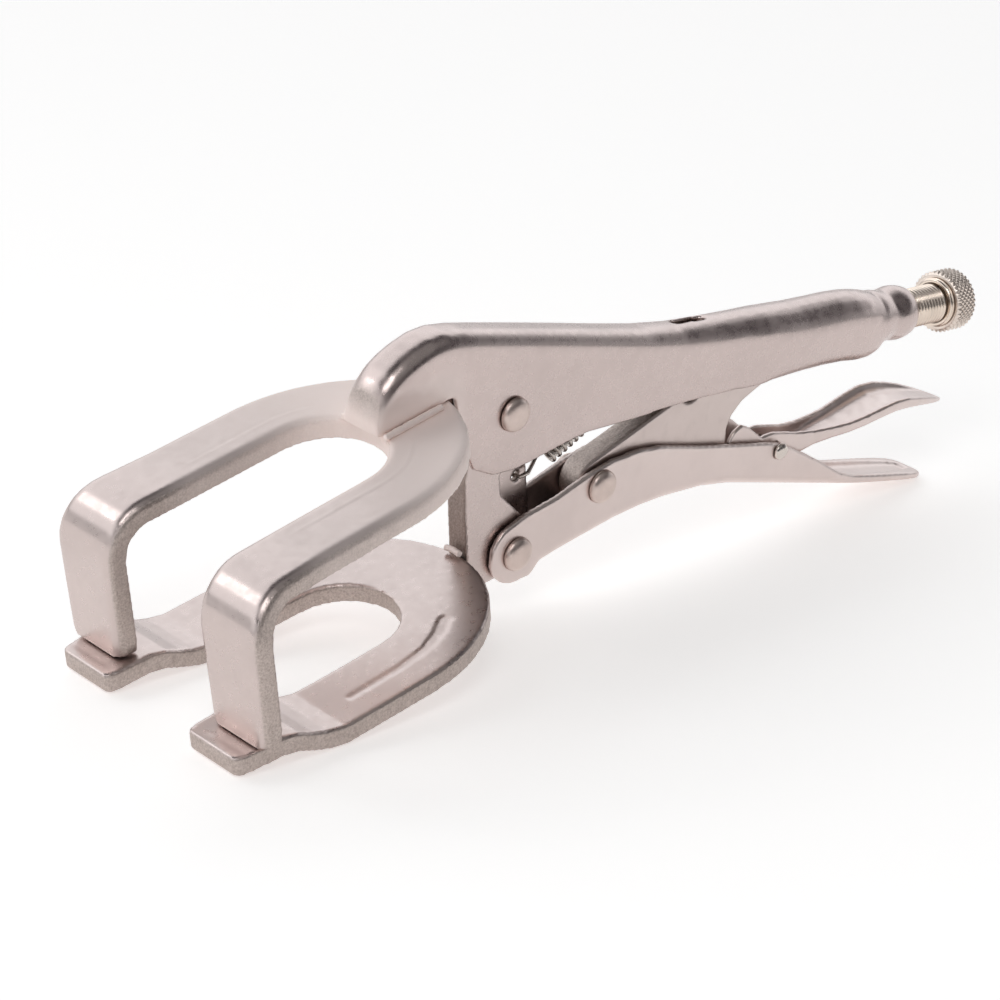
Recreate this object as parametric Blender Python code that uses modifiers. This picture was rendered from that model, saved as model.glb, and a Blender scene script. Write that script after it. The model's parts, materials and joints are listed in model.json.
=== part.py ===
"""U-jaw locking pliers: a forked welding clamp with a toggle lock.

Every outline is drawn in the jaw frame, in millimetres: X runs from the tips of the
lower jaw towards the knob, Z rises square off the flat of the lower jaw plate, and the
tool is symmetric about Y = 0. The empty tool_frame tilts that frame until the tool
lies on a table, on its lower jaw and the end of its lower handle.
"""
import math

import bmesh
import bpy
from mathutils import Matrix, Vector

MM = 0.001
GAP = 0.3                      # clearance between touching pieces

# ---- placing on the table -------------------------------------------------------
REST_TILT = math.radians(11.916)
FRAME_X = -136.18
FRAME_Z = -5.88

# ---- pivots and axes, as (x, z) in the jaw frame ----------------------------------
JAW_PIVOT = (109.2, 39.8)
HANDLE_PIVOT = (107.8, 0.6)
TOGGLE_PIVOT = (137.4, 6.3)
TOGGLE_END = (207.5, 16.2)
LEVER_PIVOT = (203.4, -13.5)
TUBE_END = (259.2, 3.85)
TUBE_SLOPE = math.atan2(TOGGLE_END[1] - TUBE_END[1], TUBE_END[0] - TOGGLE_END[0])

# ---- forged and stamped stock -----------------------------------------------------
BODY_HALF = 6.4
BODY_WALL = 1.9
TUBE_HALF = 7.8
ARM_HALF = 3.5
FORK_THICK = 5.6
PLATE_THICK = 5.0
HANDLE_HALF = 5.8
HANDLE_WALL = 1.8
LEVER_HALF = 3.6
LEVER_WALL = 1.3
RIVET_RADIUS = 3.0
RIVET_HEAD = 4.4
RIVET_DOME = 2.0
SMALL_RIVET_RADIUS = 1.5
SMALL_RIVET_HEAD = 2.35
SMALL_RIVET_DOME = 1.2
SCREW_RADIUS = 5.45
SCREW_CORE = 4.75
SCREW_PITCH = 1.27
KNOB_RADIUS = 8.6
KNOB_LENGTH = 7.6
KNOB_START = 15.2              # from the tube's mouth to the knob's front face
SPRING_WIRE = 0.65
SPRING_COIL = 2.7
SPRING_TURNS = 22

CIRCLE_STEPS = 32


# ---- scene and object helpers -----------------------------------------------------
def clear_scene():
    for old in list(bpy.data.objects):
        bpy.data.objects.remove(old, do_unlink=True)


def new_collection(name):
    collection = bpy.data.collections.new(name)
    bpy.context.scene.collection.children.link(collection)
    return collection


def steel(name, colour, roughness):
    material = bpy.data.materials.new(name)
    material.use_nodes = True
    shader = material.node_tree.nodes["Principled BSDF"]
    shader.inputs["Base Color"].default_value = (*colour, 1.0)
    shader.inputs["Metallic"].default_value = 1.0
    shader.inputs["Roughness"].default_value = roughness
    return material


def mesh_from(bm, name):
    bmesh.ops.remove_doubles(bm, verts=bm.verts, dist=1e-6)
    bmesh.ops.recalc_face_normals(bm, faces=bm.faces)
    mesh = bpy.data.meshes.new(name)
    bm.to_mesh(mesh)
    bm.free()
    mesh.set_sharp_from_angle(angle=math.radians(35))
    return mesh


def add_object(name, mesh, pivot=(0.0, 0.0), material=None):
    """Put a mesh drawn in the jaw frame on an object whose origin is the pivot."""
    origin = Vector((pivot[0], 0.0, pivot[1])) * MM
    mesh.transform(Matrix.Translation(-origin))
    obj = bpy.data.objects.new(name, mesh)
    obj.location = origin
    obj.parent = tool_frame
    if material:
        mesh.materials.append(material)
        parts.objects.link(obj)
    else:
        obj.hide_render = True
        obj.display_type = "WIRE"
        cutters.objects.link(obj)
    return obj


def boolean(obj, cutter, operation="DIFFERENCE"):
    modifier = obj.modifiers.new(cutter.name, "BOOLEAN")
    modifier.operation = operation
    modifier.object = cutter
    modifier.solver = "EXACT"


# ---- shape helpers ----------------------------------------------------------------
def smooth(points, x):
    """Height at x of a curve through the points, without overshoot."""
    if x <= points[0][0]:
        return points[0][1]
    for (x0, z0), (x1, z1) in zip(points, points[1:]):
        if x <= x1:
            break
    else:
        return points[-1][1]
    index = points.index((x1, z1))
    slope = (z1 - z0) / (x1 - x0)

    def tangent(k):
        if k == 0 or k == len(points) - 1:
            return slope
        before = (points[k][1] - points[k - 1][1]) / (points[k][0] - points[k - 1][0])
        after = (points[k + 1][1] - points[k][1]) / (points[k + 1][0] - points[k][0])
        return 0.0 if before * after <= 0 else 2 * before * after / (before + after)

    t = (x - x0) / (x1 - x0)
    m0, m1 = tangent(index - 1) * (x1 - x0), tangent(index) * (x1 - x0)
    return (z0 * (1 + 2 * t) * (1 - t) ** 2 + m0 * t * (1 - t) ** 2
            + z1 * t * t * (3 - 2 * t) + m1 * t * t * (t - 1))


def spread(start, end, count):
    return [start + (end - start) * i / (count - 1) for i in range(count)]


def arc(centre, radius, start, end, count):
    """Points of an arc in the XZ plane, angles in degrees from +X towards +Z."""
    angles = [math.radians(a) for a in spread(start, end, count)]
    return [(centre[0] + radius * math.cos(a), centre[1] + radius * math.sin(a))
            for a in angles]


def section(x, low, high, half, r_low, r_high, steps=4):
    """One closed cross-section at x: a box with rounded lower and upper corners."""
    room = min(half, (high - low) / 2)
    r_low, r_high = min(r_low, room * 0.98), min(r_high, room * 0.98)
    ring = []
    corners = ((half - r_low, low + r_low, r_low, -90), (half - r_high, high - r_high, r_high, 0),
               (-half + r_high, high - r_high, r_high, 90), (-half + r_low, low + r_low, r_low, 180))
    for y, z, radius, start in corners:
        for i in range(steps + 1):
            angle = math.radians(start + 90 * i / steps)
            ring.append(Vector((x, y + radius * math.cos(angle), z + radius * math.sin(angle))) * MM)
    return ring


def loft(rings, name):
    """A closed solid through rings that have the same number of points."""
    bm = bmesh.new()
    loops = [[bm.verts.new(point) for point in ring] for ring in rings]
    count = len(loops[0])
    for lower, upper in zip(loops, loops[1:]):
        for i in range(count):
            bm.faces.new((lower[i], lower[(i + 1) % count], upper[(i + 1) % count], upper[i]))
    bm.faces.new(loops[0])
    bm.faces.new(loops[-1])
    return mesh_from(bm, name)


def prism(outline, y_low, y_high, name, bevel=0.0):
    """A side outline, as (x, z) points, extruded across the tool."""
    bm = bmesh.new()
    face = bm.faces.new([bm.verts.new(Vector((x, y_low, z)) * MM) for x, z in outline])
    grown = bmesh.ops.extrude_face_region(bm, geom=[face])
    moved = [v for v in grown["geom"] if isinstance(v, bmesh.types.BMVert)]
    bmesh.ops.translate(bm, verts=moved, vec=Vector((0, y_high - y_low, 0)) * MM)
    if bevel:
        rim = [e for e in bm.edges if abs(e.verts[0].co.y - e.verts[1].co.y) < 1e-7]
        bmesh.ops.bevel(bm, geom=rim, offset=bevel * MM, segments=2, profile=0.5,
                        affect="EDGES", clamp_overlap=True)
    return mesh_from(bm, name)


def across(centre, radius, half, name):
    """A cylinder across the tool, for a hole."""
    bm = bmesh.new()
    place = (Matrix.Translation(Vector((centre[0], 0, centre[1])) * MM)
             @ Matrix.Rotation(math.radians(90), 4, "X"))
    bmesh.ops.create_cone(bm, cap_ends=True, segments=CIRCLE_STEPS, radius1=radius * MM,
                          radius2=radius * MM, depth=2 * half * MM, matrix=place)
    return mesh_from(bm, name)


def drill(obj, centre, radius, half=20.0):
    hole = add_object(f"{obj.name}_hole_{len(obj.modifiers)}",
                      across(centre, radius, half, "hole"))
    boolean(obj, hole)


def turned(name, profile, pivot, direction, material=None, steps=CIRCLE_STEPS):
    """A profile of (radius, height), drawn from top to bottom, turned by a Screw
    modifier about a local Z axis that points along direction."""
    mesh = bpy.data.meshes.new(name)
    points = [Vector((radius, 0.0, height)) * MM for radius, height in profile]
    mesh.from_pydata(points, [(i, i + 1) for i in range(len(points) - 1)], [])
    obj = add_object(name, mesh, (0.0, 0.0), material)
    obj.location = Vector((pivot[0], 0.0, pivot[1])) * MM
    obj.rotation_euler = Vector(direction).to_track_quat("Z", "Y").to_euler()
    screw = obj.modifiers.new("turn", "SCREW")
    screw.steps = steps
    screw.render_steps = steps
    screw.use_merge_vertices = True
    screw.merge_threshold = 0.00001
    screw.use_smooth_shade = True
    return obj


TUBE_AXIS = (math.cos(TUBE_SLOPE), 0.0, -math.sin(TUBE_SLOPE))
SIDEWAYS = (0.0, -1.0, 0.0)


# ---- upper body -------------------------------------------------------------------
BODY_TOP = [(67.4, 56.6), (68.8, 60.0), (71, 62.6), (75, 65.2), (80, 67.1), (87, 68.3), (92, 67.9),
            (98, 66.0), (105, 63.2), (118, 57.8), (131.6, 52.1), (145, 46.4), (158.7, 40.8),
            (170, 36.9), (182, 33.6), (200, 28.9), (218, 24.0), (233, 20.3), (240, 17.9), (245, 15.6)]
BODY_LOW = [(67.4, 30), (95, 20), (186, 10.5), (197.2, 9.3), (210, 6.0), (231, 0.4), (240, -2.3),
            (243, -2.2), (245, -1.0)]
BODY_WIDTH = [(67.4, 6.3), (165, 6.4), (190, 7.0), (205, TUBE_HALF), (238, TUBE_HALF), (245, 7.2)]
BODY_BELLY = [(67.2, 51.42), (91.2, 52.08), (91.6, 51.0), (92.0, 46.5), (93.0, 38.0), (95.5, 30.2),
              (101.4, 26.0), (107.5, 24.4), (112.3, 24.1), (128.1, 23.9), (134.0, 23.5), (147.8, 20.6),
              (161.2, 18.3), (173.6, 15.7), (186.2, 12.9), (197.2, 9.8), (204.0, 7.7), (212.0, 5.3)]


def body_section(x, inset=0.0):
    top_round = smooth([(67.4, 5.9), (76, 4.2), (150, 4.6), (200, 7.0), (215, TUBE_HALF)], x)
    low_round = smooth([(67.4, 1.0), (186, 1.0), (205, 5.5), (220, TUBE_HALF)], x)
    half = smooth(BODY_WIDTH, x) - inset
    return section(x, smooth(BODY_LOW, x) + inset, smooth(BODY_TOP, x) - inset, half,
                   max(low_round - inset, 0.3), max(top_round - inset, 0.8), 5)


def build_upper_body():
    stations = [67.4, 68.0, 69.4, 71.5, 74.5, 78, 82, 87, 92, 98, 105, 112, 122, 132, 145, 158, 170,
                182, 192, 200, 207, 214, 222, 230, 236, 240, 243, 245]
    body = add_object("upper_body", loft([body_section(x) for x in stations], "upper_body"),
                      (0, 0), satin)
    tube_profile = [(0.0, 0.0), (6.4, 0.0), (7.0, -0.9), (7.5, -3.2), (7.6, -5.0), (7.2, -8.0), (7.0, -9.6),
                    (7.3, -11.2), (7.7, -13.5), (7.7, -34.0), (0.0, -34.0)]
    tube = turned("body_tube", tube_profile, TUBE_END, TUBE_AXIS)
    boolean(body, tube, "UNION")
    below = [(50, -60), (50, 51.42), *BODY_BELLY, (212.0, -60)]
    boolean(body, add_object("body_belly", prism(below, -30, 30, "body_belly")))
    inner_stations = [73, 76, 80, 87, 98, 112, 132, 158, 182, 200, 214, 228, 237]
    rings = []
    for x in inner_stations:
        ring = body_section(x, BODY_WALL)
        if x < 190:
            for point in ring:
                if point.z < (smooth(BODY_LOW, x) + 8) * MM:
                    point.z -= 15 * MM
        rings.append(ring)
    boolean(body, add_object("body_cavity", loft(rings, "body_cavity")))
    bore = turned("body_bore", [(0.0, 5.0), (5.75, 5.0), (5.75, -40.0), (0.0, -40.0)], TUBE_END, TUBE_AXIS)
    boolean(body, bore)
    seam = [(180, 4.2), (213, 4.1), (223, 1.8), (226, 0.0), (223, -1.8), (213, -4.1), (180, -4.2)]
    boolean(body, add_object("body_seam", plan_prism(seam, -25, 14, "body_seam")))
    slot = [(171.5, 2.7), (181.5, 2.7), (182.5, 1.1), (181.5, -0.5), (171.5, -0.5), (170.5, 1.1)]
    boolean(body, add_object("spring_slot", plan_prism(slot, 30, 45, "spring_slot")))
    drill(body, JAW_PIVOT, RIVET_RADIUS + GAP)


def plan_prism(outline, z_low, z_high, name):
    """A plan outline, as (x, y) points, extruded upwards."""
    bm = bmesh.new()
    face = bm.faces.new([bm.verts.new(Vector((x, y, z_low)) * MM) for x, y in outline])
    grown = bmesh.ops.extrude_face_region(bm, geom=[face])
    moved = [v for v in grown["geom"] if isinstance(v, bmesh.types.BMVert)]
    bmesh.ops.translate(bm, verts=moved, vec=Vector((0, 0, z_high - z_low)) * MM)
    return mesh_from(bm, name)


# ---- forked plates ----------------------------------------------------------------
def forked_plate(name, stations, path, outer, inner, thick, shoulder, material):
    """Half of a forked plate, mirrored. path(s) gives a top point and its normal, and
    outer(s) and inner(s) give the half-widths of the plate and of its slot."""
    bm = bmesh.new()
    loops = []
    for s in stations:
        (x, z), (nx, nz) = path(s)
        wide, slot = outer(s), inner(s)
        run = max(wide - slot, 0.0)
        ease = min(1.0, run / (4 * shoulder))
        hem = shoulder * ease
        inner_drop = hem * min(1.0, slot / shoulder)
        rows = [(slot, -thick), (slot, -inner_drop), (slot + hem * 0.5, -inner_drop * 0.3),
                (slot + hem * 1.2, 0.0), (slot + run * 0.5, 0.0), (wide - hem * 1.2, 0.0),
                (wide - hem * 0.5, -hem * 0.3), (wide, -hem), (wide, -thick), (slot + run * 0.5, -thick)]
        loops.append([bm.verts.new(Vector((x + nx * h, y, z + nz * h)) * MM) for y, h in rows])
    count = len(loops[0])
    for lower, upper in zip(loops, loops[1:]):
        for i in range(count):
            bm.faces.new((lower[i], lower[(i + 1) % count], upper[(i + 1) % count], upper[i]))
    bm.faces.new(loops[0])
    bm.faces.new(loops[-1])
    bmesh.ops.remove_doubles(bm, verts=bm.verts, dist=2e-6)
    on_plane = [f for f in bm.faces if all(abs(v.co.y) < 1e-7 for v in f.verts)]
    bmesh.ops.delete(bm, geom=on_plane, context="FACES")
    bmesh.ops.dissolve_degenerate(bm, edges=bm.edges, dist=1e-6)
    mesh = bpy.data.meshes.new(name)
    bmesh.ops.recalc_face_normals(bm, faces=bm.faces)
    bm.to_mesh(mesh)
    bm.free()
    mesh.set_sharp_from_angle(angle=math.radians(35))
    obj = add_object(name, mesh, JAW_PIVOT if name == "lower_jaw_plate" else (0, 0), material)
    mirror = obj.modifiers.new("mirror", "MIRROR")
    mirror.use_axis = (False, True, False)
    mirror.merge_threshold = 0.00001
    return obj


def ellipse_half(s, start, end, half):
    """Half-width that rounds off elliptically from start to nothing at end."""
    if s <= start:
        return half
    return half * math.sqrt(max(0.0, 1.0 - ((s - start) / (end - start)) ** 2))


def round_ends(start, end, count):
    """Stations that crowd towards end, for a round outline."""
    return [start + (end - start) * math.sin(math.pi / 2 * i / count) for i in range(count + 1)]


FORK_FRONT = 4.6
FORK_FOOT = 11.6
FORK_BEND = 13.0
FORK_TOP = 49.7
FORK_RISE = math.radians(1.6)
FORK_HEEL = 91.0
FORK_SLOT_END = 70.6
FORK_SLOT_HALF = 14.6


def fork_path(s):
    """The fork's outer face: up the leg, round the bend, then back along the top."""
    turn = math.pi / 2 - FORK_RISE
    centre_z = FORK_TOP - FORK_BEND
    leg = centre_z - FORK_FOOT
    bend = FORK_BEND * turn
    if s <= leg:
        return (FORK_FRONT, FORK_FOOT + s), (-1.0, 0.0)
    angle = min((s - leg) / FORK_BEND, turn)
    normal = (-math.cos(angle), math.sin(angle))
    x = FORK_FRONT + FORK_BEND + FORK_BEND * normal[0]
    z = centre_z + FORK_BEND * normal[1]
    rest = max(s - leg - bend, 0.0)
    return (x + rest * math.cos(FORK_RISE), z + rest * math.sin(FORK_RISE)), normal


def build_upper_jaw():
    leg = FORK_TOP - FORK_BEND - FORK_FOOT
    bend = FORK_BEND * (math.pi / 2 - FORK_RISE)
    flat_x = fork_path(leg + bend)[0][0]
    to_s = lambda x: leg + bend + (x - flat_x) / math.cos(FORK_RISE)
    slot_start, slot_end = to_s(FORK_SLOT_END - FORK_SLOT_HALF), to_s(FORK_SLOT_END)
    heel_start, heel_end = to_s(53.0), to_s(FORK_HEEL)
    outer_points = [(0.0, 35.0), (2.5, 35.5), (leg, 35.9), (leg + bend * 0.5, 34.9), (leg + bend, 33.4),
                    (leg + bend + 8.0, 32.7), (heel_start, 32.4)]
    inner_points = [(0.0, 16.8), (2.5, 16.4), (leg, 16.0), (leg + bend * 0.5, 15.5), (leg + bend, 15.0),
                    (slot_start, FORK_SLOT_HALF)]
    outer = lambda s: ellipse_half(s, heel_start, heel_end, smooth(outer_points, s))
    inner = lambda s: ellipse_half(s, slot_start, slot_end, smooth(inner_points, s))
    stations = [0.0, 2.5, leg * 0.5, leg]
    stations += [leg + bend * i / 7 for i in range(1, 8)]
    stations += spread(leg + bend, slot_start, 4)[1:]
    stations += round_ends(slot_start, slot_end, 7)[1:]
    stations += [s for s in round_ends(heel_start, heel_end, 9) if s > slot_end + 0.5]
    forked_plate("upper_jaw", stations, fork_path, outer, inner, FORK_THICK, 1.7, satin)


PAD_FRONT = -0.9
PAD_TOP = 11.2
PLATE_PATH = [(PAD_FRONT, PAD_TOP), (6.0, PAD_TOP), (12.0, PAD_TOP), (21.0, 7.6), (29.0, PLATE_THICK),
              (60.0, PLATE_THICK), (100.0, PLATE_THICK)]


def plate_path(s):
    """The lower jaw's top face: the raised pads, an easy joggle, then the flat."""
    return (s, smooth(PLATE_PATH, s)), (0.0, 1.0)


def build_lower_jaw():
    outer_points = [(PAD_FRONT, 30.6), (0.0, 31.8), (2.0, 32.3), (15.0, 33.4), (40.0, 33.5), (55.0, 33.4)]
    inner_points = [(PAD_FRONT, 15.6), (0.0, 14.7), (2.0, 14.2), (16.0, 13.9), (40.0, 14.7), (56.0, 14.4)]
    outer = lambda s: ellipse_half(s, 55.0, 93.5, smooth(outer_points, s))
    inner = lambda s: ellipse_half(s, 56.0, 70.4, smooth(inner_points, s))
    stations = [PAD_FRONT, 0.0, 2.0, 7.0, 12.0, 16.0, 20.0, 24.0, 29.0, 36.0, 46.0]
    stations += round_ends(56.0, 70.4, 7)
    stations += [s for s in round_ends(55.0, 93.5, 11) if s > 70.9]
    plate = forked_plate("lower_jaw_plate", stations, plate_path, outer, inner, PLATE_THICK, 0.5, satin)
    for side in (-1, 1):
        groove = [(74.2, 15.9), (74.0, 18.4), (69.5, 21.6), (62.5, 24.2), (54.0, 25.3), (36.0, 25.6),
                  (36.0, 23.4), (52.0, 23.0), (61.0, 21.6), (67.0, 19.0), (72.0, 15.6)]
        outline = [(x, side * (y + 1.2)) for x, y in groove]
        boolean(plate, add_object(f"plate_groove_{side + 1}",
                                  plan_prism(outline, PLATE_THICK - 0.5, 9.0, "groove")))

    arm_outline = [(93.9, -1.0), (93.9, 5.0), (94.4, 16.0), (95.2, 26.0), (98.6, 36.0)]
    arm_outline += arc(JAW_PIVOT, 10.0, 170, -10, 13)
    arm_outline += [(117.0, 34.0), (110.0, 27.0), (106.2, 22.5), (106.2, 17.0), (109.2, 13.0),
                    (112.6, 8.5)]
    arm_outline += arc(HANDLE_PIVOT, 7.0, 35, -120, 10)
    arm_outline += [(98.0, -5.0)]
    arm = add_object("lower_jaw_arm", prism(arm_outline, -ARM_HALF, ARM_HALF, "lower_jaw_arm", 0.35),
                     JAW_PIVOT, satin)
    ear = [(104.0, 36.0), (104.0, 5.0), (112.0, 2.0), (117.5, 2.0), (119.0, 5.0), (119.0, 19.0),
           (118.0, 30.0), (115.0, 36.0)]
    boolean(arm, add_object("arm_ear", prism(ear, 1.2, ARM_HALF - 0.05, "arm_ear")), "UNION")
    drill(arm, JAW_PIVOT, RIVET_RADIUS + GAP)
    drill(arm, HANDLE_PIVOT, RIVET_RADIUS + GAP)
    drill(arm, SPRING_HOLE, 1.3)


# ---- welds ------------------------------------------------------------------------
def bead(name, points, radius, pivot):
    """A weld bead: a short round-backed bar through the points."""
    curve = bpy.data.curves.new(name, "CURVE")
    curve.dimensions = "3D"
    curve.bevel_depth = radius * MM
    curve.bevel_resolution = 2
    curve.use_fill_caps = True
    spline = curve.splines.new("POLY")
    spline.points.add(len(points) - 1)
    origin = Vector((pivot[0], 0.0, pivot[1]))
    for place, point in zip(spline.points, points):
        place.co = (*((Vector(point) - origin) * MM), 1.0)
    obj = bpy.data.objects.new(name, curve)
    obj.location = origin * MM
    obj.parent = tool_frame
    curve.materials.append(bright)
    parts.objects.link(obj)
    return obj


def build_welds():
    for name, side in (("upper_jaw_weld_left", 1), ("upper_jaw_weld_right", -1)):
        line = [(x, side * 7.35, 51.82 + (x - 68.0) * math.tan(FORK_RISE))
                for x in (68.6, 71.0, 74.0, 77.0, 80.0, 83.0, 86.0)]
        bead(name, line, 0.6, (0, 0))
    foot = [(92.3, -2.6, 6.4), (92.6, 0.0, 6.5), (92.3, 2.6, 6.4)]
    bead("lower_jaw_weld", foot, 0.95, JAW_PIVOT)


# ---- lower handle -----------------------------------------------------------------
HANDLE_TOP = [(107.8, 8.8), (113, 9.6), (125, 9.6), (134.5, 11.1), (141.7, 11.4), (150, 10.4),
              (158.6, 8.0), (173.2, 1.5), (181.5, -2.0), (194, -7.2), (204.5, -11.8), (209, -15.3),
              (214, -19.2), (218, -22.7), (222, -26.4), (227.5, -31.2), (233, -34.6), (240, -37.6),
              (247, -40.5), (257, -44.8), (261.5, -46.8), (263.6, -47.9)]
HANDLE_LOW = [(107.8, -7.6), (112.0, -7.9), (115.5, -6.0), (142.7, -6.2), (159.7, -8.3), (174.8, -11.9),
              (182.5, -14.7), (199.6, -22.6), (218, -31.1), (232, -37.0), (246.7, -42.9), (256, -46.7),
              (261.5, -48.9), (263.6, -49.6)]
HANDLE_WIDTH = [(99.6, HANDLE_HALF), (208, HANDLE_HALF), (228, 6.5), (246, 6.9), (257, 6.7), (260.5, 6.1),
                (262.6, 5.0), (263.6, 3.6)]
HANDLE_END = 263.6
LOBE = 8.2


def handle_heights(x):
    if x < HANDLE_PIVOT[0]:
        rise = math.sqrt(max(LOBE ** 2 - (x - HANDLE_PIVOT[0]) ** 2, 0.01))
        return HANDLE_PIVOT[1] - rise, HANDLE_PIVOT[1] + rise
    return smooth(HANDLE_LOW, x), smooth(HANDLE_TOP, x)


def build_lower_handle():
    lobe_start = HANDLE_PIVOT[0] - LOBE
    stations = [HANDLE_PIVOT[0] - LOBE * math.cos(math.radians(a)) for a in range(4, 90, 14)]
    stations += [107.8, 112, 115.5, 122, 134, 142, 152, 160, 174, 184, 194, 200, 204.5, 209, 214, 218, 222,
                 227.5, 233, 240, 248, 256, 260.5, 262.6, HANDLE_END]
    rings = []
    for x in stations:
        low, high = handle_heights(x)
        round_low = smooth([(112, 0.4), (118, 2.4), (206, 2.8), (226, 2.6), (236, 1.2), (262, 0.8)], x)
        rings.append(section(x, low, high, smooth(HANDLE_WIDTH, x), round_low, 0.3, 4))
    handle = add_object("lower_handle", loft(rings, "lower_handle"), HANDLE_PIVOT, satin)
    inner = []
    for x in [lobe_start - 2, 116.4, 117.4] + [x + 0.4 for x in stations if 121 < x < 262]:
        low, high = handle_heights(max(x, HANDLE_PIVOT[0]))
        floor = low - 4 if x < 117 else low + smooth([(222, HANDLE_WALL), (240, 1.3), (262, 1.4)], x)
        half = smooth(HANDLE_WIDTH, x) - smooth([(210, HANDLE_WALL), (236, 2.2), (262, 3.4)], x)
        round_low = smooth([(117, 0.4), (134, 1.2), (206, 1.4), (232, 1.8), (262, 1.4)], x)
        inner.append(section(x, floor, max(high + 3, floor + 4), half, round_low, 0.3, 3))
    boolean(handle, add_object("handle_cavity", loft(inner, "handle_cavity")))
    for pivot, radius in ((HANDLE_PIVOT, RIVET_RADIUS), (TOGGLE_PIVOT, RIVET_RADIUS),
                          (LEVER_PIVOT, SMALL_RIVET_RADIUS)):
        drill(handle, pivot, radius + GAP)


# ---- toggle link and release lever ------------------------------------------------
def build_toggle_link():
    outline = arc(TOGGLE_PIVOT, 6.2, 275, 95, 12)
    outline += [(150.0, 14.3), (160.0, 15.8), (168.6, 17.0)]
    outline += arc((173.0, 18.2), 4.2, 196, 344, 8)
    outline += [(184.0, 19.6), (196.0, 21.0)]
    outline += arc(TOGGLE_END, 5.2, 110, -60, 10)
    outline += [(205.0, 9.8), (200.1, 7.8), (192.0, 6.0), (187.8, 3.4), (185.8, 0.4), (185.2, -4.0),
                (184.0, -8.0), (180.5, -8.6), (174.0, -4.5), (160.0, 0.0)]
    link = add_object("toggle_link", prism(outline, -ARM_HALF, ARM_HALF, "toggle_link", 0.3),
                      TOGGLE_PIVOT, satin)
    drill(link, TOGGLE_PIVOT, RIVET_RADIUS + GAP)


LEVER_TOP = [(186.4, -4.2), (188.5, -2.0), (191.5, -1.2), (194.0, -2.8), (199.0, -8.3), (203.4, -8.8),
             (211.0, -12.2), (218.0, -14.6), (227.0, -16.6), (234.0, -17.7), (241.0, -17.8), (247.0, -17.9),
             (252.0, -18.4), (257.0, -20.2), (262.0, -22.3), (267.0, -24.9), (271.0, -27.4), (275.0, -29.9)]
LEVER_LOW = [(186.4, -9.5), (190.0, -13.2), (196.0, -16.8), (204.0, -19.6), (211.0, -19.9), (218.0, -19.8),
             (226.0, -20.4), (234.0, -21.2), (241.0, -21.4), (248.0, -21.7), (256.0, -23.3), (264.0, -26.1),
             (270.0, -28.6), (275.0, -31.0)]
LEVER_WIDTH = [(186.4, LEVER_HALF), (209.0, LEVER_HALF), (218.0, 4.3), (227.0, 5.4), (240.0, 6.9),
               (252.0, 7.5), (259.0, 7.2), (266.0, 6.0), (271.0, 4.3), (275.0, 1.9)]


def build_release_lever():
    stations = [186.4, 188.5, 191.5, 194.0, 199.0, 203.4, 208.0, 213.0, 219.0, 226.0, 232.0, 238.0, 244.0,
                250.0, 255.0, 260.0, 265.0, 269.0, 272.5, 275.0]
    low_round = [(206.0, 0.8), (218.0, 1.8), (228.0, 3.2), (244.0, 4.4), (262.0, 4.2), (275.0, 0.8)]
    rings = [section(x, smooth(LEVER_LOW, x), smooth(LEVER_TOP, x), smooth(LEVER_WIDTH, x),
                     smooth(low_round, x), 0.3, 4) for x in stations]
    lever = add_object("release_lever", loft(rings, "release_lever"), LEVER_PIVOT, satin)
    inner = []
    for x in (184.0, 188.5, 194.0, 199.0, 204.0, 210.0, 216.0, 226.0, 232.0, 238.0, 244.0, 250.0, 255.0,
              260.0, 265.0, 269.0, 273.0):
        floor = smooth(LEVER_LOW, x) + LEVER_WALL + 0.1
        half = max(smooth(LEVER_WIDTH, x) - LEVER_WALL, 0.8)
        top = max(smooth(LEVER_TOP, x), floor) + 3.0
        inner.append(section(x, floor, top, half, max(smooth(low_round, x) - 1.0, 0.3), 0.3, 4))
    boolean(lever, add_object("lever_cavity", loft(inner, "lever_cavity")))
    drill(lever, LEVER_PIVOT, SMALL_RIVET_RADIUS + GAP)


# ---- rivets -----------------------------------------------------------------------
def rivet(name, pivot, radius, head, dome, half, material):
    """A shank across the tool with a domed head at each end."""
    sphere = (head ** 2 + dome ** 2) / (2 * dome)
    sweep = math.asin(head / sphere)
    cap = [(sphere * math.sin(sweep * i / 4), dome - sphere * (1 - math.cos(sweep * i / 4)))
           for i in range(5)]
    seat = half + GAP
    top = [(r, seat + h) for r, h in cap]
    profile = top + [(radius, seat)]
    profile += [(r, -h) for r, h in reversed(profile)]
    profile[0] = (0.0, profile[0][1])
    profile[-1] = (0.0, profile[-1][1])
    turned(name, profile, pivot, SIDEWAYS, material, 24)


def build_rivets():
    rivet("jaw_rivet", JAW_PIVOT, RIVET_RADIUS, RIVET_HEAD, RIVET_DOME, BODY_HALF, satin)
    rivet("handle_rivet", HANDLE_PIVOT, RIVET_RADIUS, RIVET_HEAD, RIVET_DOME, HANDLE_HALF, satin)
    rivet("toggle_rivet", TOGGLE_PIVOT, RIVET_RADIUS, RIVET_HEAD, RIVET_DOME, HANDLE_HALF, satin)
    rivet("release_lever_rivet", LEVER_PIVOT, SMALL_RIVET_RADIUS, SMALL_RIVET_HEAD, SMALL_RIVET_DOME,
          HANDLE_HALF, bright)


# ---- adjusting screw --------------------------------------------------------------
SCREW_FRONT = -41.6            # the screw's front end, from the tube's mouth
TIP_LENGTH = 4.0


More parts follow.
